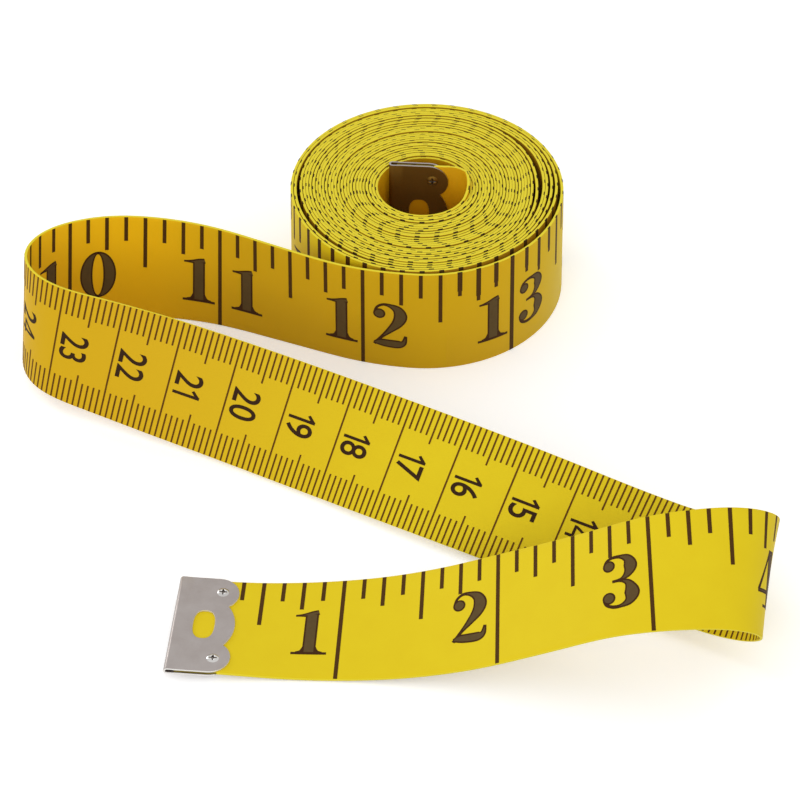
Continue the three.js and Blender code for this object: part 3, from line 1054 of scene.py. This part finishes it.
def printTicks(scale, end):
    half = tape["width"] / 2 - ink["edgeGap"]
    parts = max(scale["ticks"])
    step = scale["unit"] / parts
    for i in range(1, int(end / step) + 1):
        at = i * step
        stretch = stretchOf(at)
        if stretch is None:
            continue
        kind = min(part for part in scale["ticks"] if i * part % parts == 0)
        length = scale["ticks"][kind]
        spans = [(-half, half)]
        if kind > 1:
            drop = inchDrift(at) if scale["side"] < 0 else 0
            spans = [(tape["width"] / 2 - length - drop, half)]
            if scale["bothEdges"]:
                spans.append((-half, length - tape["width"] / 2))
        for low, high in spans:
            printTick(inkMeshes[stretch], at, low, high, scale["tickWidth"], scale["side"], scale["tone"])


inkMeshes = {stretch: bmesh.new() for stretch in carriers}
outerTurnEnd = looseLength + 2 * math.pi * coil["radius"]
printTicks(scales["inch"], outerTurnEnd)
printTicks(scales["centimetre"], looseLength)
for number in range(1, int(outerTurnEnd / inch) + 1):
    printInchNumeral(number)
for number in range(1, int(looseLength / scales["centimetre"]["unit"]) + 1):
    printPlainNumeral(number)
inkPieces = {}
for stretch, bm in inkMeshes.items():
    layOnTape(bm, skewed=True)
    inkPieces[stretch] = toObject(bm, "ink_" + stretch, inkMaterials)
    carry(inkPieces[stretch], stretch)
print("print done")

for stretch, piece in tapePieces.items():
    start, end = (coilMarks[0], coilMarks[-1]) if stretch == "coil" else stretches[stretch][:2]


# A folded sheet-metal end: x from the fold to the lobes, y through it and z across the tape, in metres
clip = {
    "length": 0.0098,
    "height": 0.02,
    "metal": 0.0003,
    "gripGap": 0.00002,  # between the cloth and the metal
    "foldGap": 0.0003,
    "pinched": 0.0022,  # from here on the leaves lie on the strip
    "cornerRadius": 0.0032,
    "lobeRadius": 0.007,
    "slotWidth": 0.0034,
    "slotHeight": 0.006,
    "slotFromFold": 0.00498,
    "slotSquareness": 2.6,  # 2 is an oval; more is squarer
    "dimpleFromFold": 0.0072,
    "dimpleFromEdge": 0.0029,
    "dimpleRadius": 0.00095,
    "dimpleHeight": 0.00032,
    "dimpleTip": 0.00001,  # hole at the axis, which is filled
    "dimpleRings": 14,
    "dimpleSteps": 40,
    "dimpleFullness": 1.6,  # more is flatter on top
    "pitDepth": 1.1,  # of the dimple's height
    "pitWidth": 0.24,  # the cross-shaped pit, of the dimple's radius
    "pitArms": 0.34,  # and what its arms add
    "pitReach": 1.1,  # the painted pit shade reaches this share of the pit's width
    "edgeRound": 0.00005,
    "arcSteps": 14,
    "slotSteps": 40,
    "foldSteps": 6,
    "leafCuts": 7,  # past the fold, where the leaves close on the strip
    "leafCutStep": 0.0004,
    "sharpFrom": 1.2,  # radians at a cut edge
    "leafFacing": 0.8,  # faces turned further than this are cut edges
    "frontShift": -0.00132,  # the end clip past its place in the solids
    "frontSkew": (4.4, 3.1),  # out of square at the fold and at the lobes
    "innerSkew": (0, 0),
}
clip["leafGap"] = tape["thickness"] / 2 + clip["gripGap"]  # from the strip's middle to the metal
leafSlot, cutSlot, domeSlot, pitSlot = range(4)
foldOuter = clip["foldGap"] + clip["metal"]
foldHalf = math.pi / 2 * (clip["foldGap"] + clip["metal"] / 2)


def arcPoints(centre, radius, start, end, steps):
    angles = [start + (end - start) * i / steps for i in range(steps + 1)]
    return [Vector((centre[0] + radius * math.cos(a), centre[1] + radius * math.sin(a))) for a in angles]


# Upper half of a leaf's rim, from the middle of its middle lobe up to its top edge
def lobeRim():
    high = clip["height"] / 2
    corner = Vector((clip["length"] - clip["cornerRadius"], high - clip["cornerRadius"]))
    middle = Vector((clip["length"] - clip["lobeRadius"], 0))
    span = corner - middle
    reach = (span.length_squared + clip["lobeRadius"] ** 2 - clip["cornerRadius"] ** 2) / (2 * span.length)
    rise = math.sqrt(clip["lobeRadius"] ** 2 - reach**2)
    forward = span.normalized()
    notch = middle + forward * reach + Vector((forward.y, -forward.x)) * rise
    lobeEnd = math.atan2(notch.y - middle.y, notch.x - middle.x)
    cornerStart = math.atan2(notch.y - corner.y, notch.x - corner.x)
    lobe = arcPoints(middle, clip["lobeRadius"], 0, lobeEnd, clip["arcSteps"])
    return lobe + arcPoints(corner, clip["cornerRadius"], cornerStart, math.pi / 2, clip["arcSteps"])[1:]


def slotRing(middle):
    ring = []
    for i in range(clip["slotSteps"]):
        angle = 2 * math.pi * i / clip["slotSteps"]
        sides = (math.cos(angle), math.sin(angle))
        x, y = [math.copysign(abs(side) ** (2 / clip["slotSquareness"]), side) for side in sides]
        ring.append(Vector((middle + x * clip["slotWidth"] / 2, y * clip["slotHeight"] / 2)))
    return ring


def addLoop(bm, points):
    verts = [bm.verts.new((point.x, 0, point.y)) for point in points]
    for vert, following in zip(verts, verts[1:] + verts[:1]):
        bm.edges.new((vert, following))


# The blank lies flat first, x from the middle of the fold along both leaves, then bends round the fold
def bendRoundFold(vert):
    side = 1 if vert.co.x > 0 else -1
    reach = abs(vert.co.x)
    if reach < foldHalf:
        angle = reach / foldHalf * math.pi / 2
        radius = clip["foldGap"] + vert.co.y
        vert.co = Vector((foldOuter - radius * math.cos(angle), -side * radius * math.sin(angle), vert.co.z))
        return
    x = foldOuter + reach - foldHalf
    opening = 1 - smooth(x, foldOuter, clip["pinched"])
    gap = clip["leafGap"] + (clip["foldGap"] - clip["leafGap"]) * opening
    vert.co = Vector((x, -side * (gap + vert.co.y), vert.co.z))


def clipBlank():
    bm = bmesh.new()
    rim = lobeRim()
    rim = [Vector((point.x, -point.y)) for point in reversed(rim[1:])] + rim
    toFlat = foldHalf - foldOuter
    leaf = [Vector((point.x + toFlat, point.y)) for point in rim]
    addLoop(bm, leaf + [Vector((-point.x, point.y)) for point in reversed(leaf)])
    for side in (-1, 1):
        addLoop(bm, slotRing(side * (clip["slotFromFold"] + toFlat)))
    bmesh.ops.triangle_fill(bm, use_beauty=True, edges=bm.edges[:])
    cuts = [foldHalf * i / clip["foldSteps"] for i in range(clip["foldSteps"] + 1)]
    cuts += [foldHalf + clip["leafCutStep"] * i for i in range(1, clip["leafCuts"] + 1)]
    for cut in sorted({side * cut for cut in cuts for side in (-1, 1)}):
        geom = bm.verts[:] + bm.edges[:] + bm.faces[:]
        bmesh.ops.bisect_plane(bm, geom=geom, dist=sameWithin, plane_co=(cut, 0, 0), plane_no=(1, 0, 0))
    thicken(bm, bm.faces[:], (0, clip["metal"], 0))
    bmesh.ops.recalc_face_normals(bm, faces=bm.faces)
    rims = [
        edge
        for edge in bm.edges
        if len(edge.link_faces) == 2
        and edge.calc_face_angle() > clip["sharpFrom"]
        and abs(edge.verts[0].co.y - edge.verts[1].co.y) < sameWithin
    ]
    roundEdges(bm, rims, clip["edgeRound"])
    for face in bm.faces:
        face.normal_update()
        face.material_index = cutSlot if abs(face.normal.y) < clip["leafFacing"] else leafSlot
    for vert in bm.verts:
        bendRoundFold(vert)
    return bm


# How far the cross-shaped pit reaches from the dimple's middle towards a point
def pitArm(point):
    arms = math.cos(2 * math.atan2(point.y, point.x)) ** 4
    return clip["dimpleRadius"] * (clip["pitWidth"] + clip["pitArms"] * arms)


# A staked dimple: a low dome with a cross-shaped pit, made upright at the origin
def dimple():
    bm = bmesh.new()
    radius, height = clip["dimpleRadius"], clip["dimpleHeight"]
    profile = [Vector((clip["dimpleTip"], 0, height))]
    for i in range(1, clip["dimpleRings"] + 1):
        share = i / clip["dimpleRings"]
        fall = math.cos(math.pi / 2 * share ** clip["dimpleFullness"])
        profile.append(Vector((radius * share, 0, height * fall)))
    profile.append(Vector((radius, 0, -clip["metal"] / 2)))
    verts = [bm.verts.new(point) for point in profile]
    edges = [bm.edges.new(pair) for pair in zip(verts, verts[1:])]
    bmesh.ops.spin(
        bm,
        geom=verts + edges,
        cent=(0, 0, 0),
        axis=up,
        angle=2 * math.pi,
        steps=clip["dimpleSteps"],
        use_merge=True,
    )
    bmesh.ops.holes_fill(bm, edges=[edge for edge in bm.edges if edge.is_boundary], sides=0)
    for vert in bm.verts:
        away = math.hypot(vert.co.x, vert.co.y)
        if vert.co.z > 0:
            vert.co.z -= height * clip["pitDepth"] * math.exp(-((away / pitArm(vert.co)) ** 2))
    for face in bm.faces:
        middle = face.calc_center_median()
        inPit = math.hypot(middle.x, middle.y) < clip["pitReach"] * pitArm(middle)
        face.material_index = pitSlot if inPit else domeSlot
    return bm


# The leaves stay flat shaded, because their long faces would smear the rounded rims' shading
def makeClip(name, place, attitude, skews, materials):
    foldSkew, lobeSkew = skews
    bm = clipBlank()
    for side in (-1, 1):
        stud = dimple()
        middle = Vector((
            clip["dimpleFromFold"],
            -clip["leafGap"] - clip["metal"],
            side * (clip["height"] / 2 - clip["dimpleFromEdge"]),
        ))
        stud.transform(Matrix.Translation(middle) @ Matrix.Rotation(math.pi / 2, 4, "X"))
        scratch = bpy.data.meshes.new("stud")
        stud.to_mesh(scratch)
        stud.free()
        bm.from_mesh(scratch)
        bpy.data.meshes.remove(scratch)
    bm.faces.index_update()
    flatFaces = [
        face.index
        for face in bm.faces
        if face.material_index == leafSlot and min(vert.co.x for vert in face.verts) > clip["pinched"]
    ]
    for vert in bm.verts:
        share = vert.co.x / clip["length"]
        skew = math.radians(foldSkew + (lobeSkew - foldSkew) * share)
        x = vert.co.x - halfClip + vert.co.z * math.tan(skew)
        vert.co = place + attitude @ Vector((x, vert.co.y, vert.co.z))
    piece = toObject(bm, name, materials, sharpAngle=40)
    for index in flatFaces:
        piece.data.polygons[index].use_smooth = False
    return piece


tin = {"clouds": 260.0, "grain": 2600.0, "bumpStrength": 0.1, "bumpDepth": 0.00005}


def tinMaterial(name, dull, bright, smoothest, spread, metallic=1.0):
    material, tree, shader = newMaterial(name, Metallic=metallic)
    place = addNode(tree, "ShaderNodeTexCoord").outputs["Object"]
    cloud = addNode(tree, "ShaderNodeTexNoise", Vector=place, Scale=tin["clouds"], Detail=4.0)
    tone = mixColour(tree, cloud.outputs["Fac"], dull, bright)
    tree.links.new(tone, shader.inputs["Base Color"])
    grain = addNode(tree, "ShaderNodeTexNoise", Vector=place, Scale=tin["grain"], Detail=3.0)
    rough = mathNode(tree, "MULTIPLY_ADD", grain.outputs["Fac"], spread, smoothest)
    tree.links.new(rough, shader.inputs["Roughness"])
    bump = addNode(
        tree,
        "ShaderNodeBump",
        Strength=tin["bumpStrength"],
        Distance=tin["bumpDepth"],
        Height=grain.outputs["Fac"],
    )
    tree.links.new(bump.outputs["Normal"], shader.inputs["Normal"])
    return material


satinTin = tinMaterial("satinTin", (0.32, 0.275, 0.255, 1), (0.47, 0.435, 0.42, 1), 0.28, 0.22)
# Bare cut metal, toned much brighter than the leaves as a painted highlight on the edges
cutEdgeGlintTin = tinMaterial("cutEdgeGlintTin", (0.74, 0.71, 0.67, 1), (0.84, 0.82, 0.79, 1), 0.3, 0.15, metallic=0.4)
polishedTin = tinMaterial("polishedTin", (0.43, 0.405, 0.39, 1), (0.7, 0.69, 0.67, 1), 0.1, 0.12)
# Painted shade: almost black tin in the dimples' pits
pitShadeTin = tinMaterial("pitShadeTin", (0.05, 0.042, 0.038, 1), (0.1, 0.084, 0.075, 1), 0.3, 0.2)
shadedTin = tinMaterial("shadedTin", (0.17, 0.09, 0.013, 1), (0.22, 0.123, 0.026, 1), 0.5, 0.2)
frontPlace, frontAttitude = tapeFrame(halfClip)
frontPlace = frontPlace + frontAttitude @ Vector((clip["frontShift"], 0, 0))
frontTins = [satinTin, cutEdgeGlintTin, polishedTin, pitShadeTin]
innerTins = [shadedTin, satinTin, shadedTin, pitShadeTin]
clips = {
    "front_clip": makeClip("endClip", frontPlace, frontAttitude, clip["frontSkew"], frontTins),
    "core_clip": makeClip("innerClip", innerPlace, innerTurn, clip["innerSkew"], innerTins),
}
for node, body in (("front_clip", "front_run"), ("core_clip", "coil")):
    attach(clips[node], body)
    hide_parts(node)
print("clips done")

# Camera at the photograph's angle
view = {
    "elevation": 40.42,
    "distance": 1.07168,
    "target": (-0.0043, -0.03065, 0),  # from the coil's centre
    "focalPixels": 6582.6,
    "pictureWidth": 800,
    "sensor": 36,
    "far": 10,
}
pitch = math.radians(view["elevation"])
lookAt = coilCentre + Vector(view["target"])
cameraData = bpy.data.cameras.new("camera")
cameraData.lens = view["focalPixels"] / view["pictureWidth"] * view["sensor"]
cameraData.sensor_width = view["sensor"]
cameraData.clip_end = view["far"]
camera = bpy.data.objects.new("camera", cameraData)
camera.location = lookAt - Vector((0, math.cos(pitch), -math.sin(pitch))) * view["distance"]
camera.rotation_euler = (math.pi / 2 - pitch, 0, 0)
bpy.context.scene.collection.objects.link(camera)
bpy.context.scene.camera = camera

studioLight = {
    "floorSize": 3,
    "floorSeen": (0.97, 0.97, 0.97, 1),  # by the rays that look at the background
    "floorUnseen": (0.8, 0.8, 0.8, 1),
    "floorGlow": 0.3,
    "worldSeen": 1,
    "worldUnseen": 0.79,
    "lamps": {
        "frontLamp": {"energy": 2.8, "size": 0.6, "place": (-0.25, -1, 0.55)},
        "rimLamp": {"energy": 2.5, "size": 0.35, "place": (-1, 0.9, 0.65)},
    },
}


# 1 for a ray that looks at the background: from the camera, off metal or through glass
def seenBy(tree):
    rays = addNode(tree, "ShaderNodeLightPath").outputs
    thrown = mathNode(tree, "MAXIMUM", rays["Is Glossy Ray"], rays["Is Transmission Ray"])
    return mathNode(tree, "MAXIMUM", rays["Is Camera Ray"], thrown)


# A white sweep: the floor looks white, but throws less light back on the tape
def floorMaterial():
    material, tree, shader = newMaterial("palePaper", Roughness=0.95, Specular_IOR_Level=0.0)
    seen = seenBy(tree)
    tone = mixColour(tree, seen, studioLight["floorUnseen"], studioLight["floorSeen"])
    tree.links.new(tone, shader.inputs["Base Color"])
    shader.inputs["Emission Color"].default_value = (1, 1, 1, 1)
    glow = mathNode(tree, "MULTIPLY", seen, studioLight["floorGlow"])
    tree.links.new(glow, shader.inputs["Emission Strength"])
    return material


def addLamp(name, energy, size, place):
    lamp = bpy.data.lights.new(name, "AREA")
    lamp.energy = energy
    lamp.size = size
    shining = bpy.data.objects.new(name, lamp)
    shining.location = place
    shining.rotation_euler = (-Vector(place)).to_track_quat("-Z", "Y").to_euler()
    bpy.context.scene.collection.objects.link(shining)


def studio():
    bm = bmesh.new()
    bmesh.ops.create_grid(bm, x_segments=1, y_segments=1, size=studioLight["floorSize"])
    toObject(bm, "stageFloor", [floorMaterial()])
    world = bpy.context.scene.world or bpy.data.worlds.new("world")
    bpy.context.scene.world = world
    world.use_nodes = True
    background = world.node_tree.nodes["Background"]
    background.inputs["Color"].default_value = (1, 1, 1, 1)
    unseen = studioLight["worldUnseen"]
    more = studioLight["worldSeen"] - unseen
    strength = mathNode(world.node_tree, "MULTIPLY_ADD", seenBy(world.node_tree), more, unseen)
    world.node_tree.links.new(strength, background.inputs["Strength"])
    for name, lamp in studioLight["lamps"].items():
        addLamp(name, **lamp)


studio()
bpy.context.scene.view_settings.view_transform = "Standard"
print("camera and studio done")
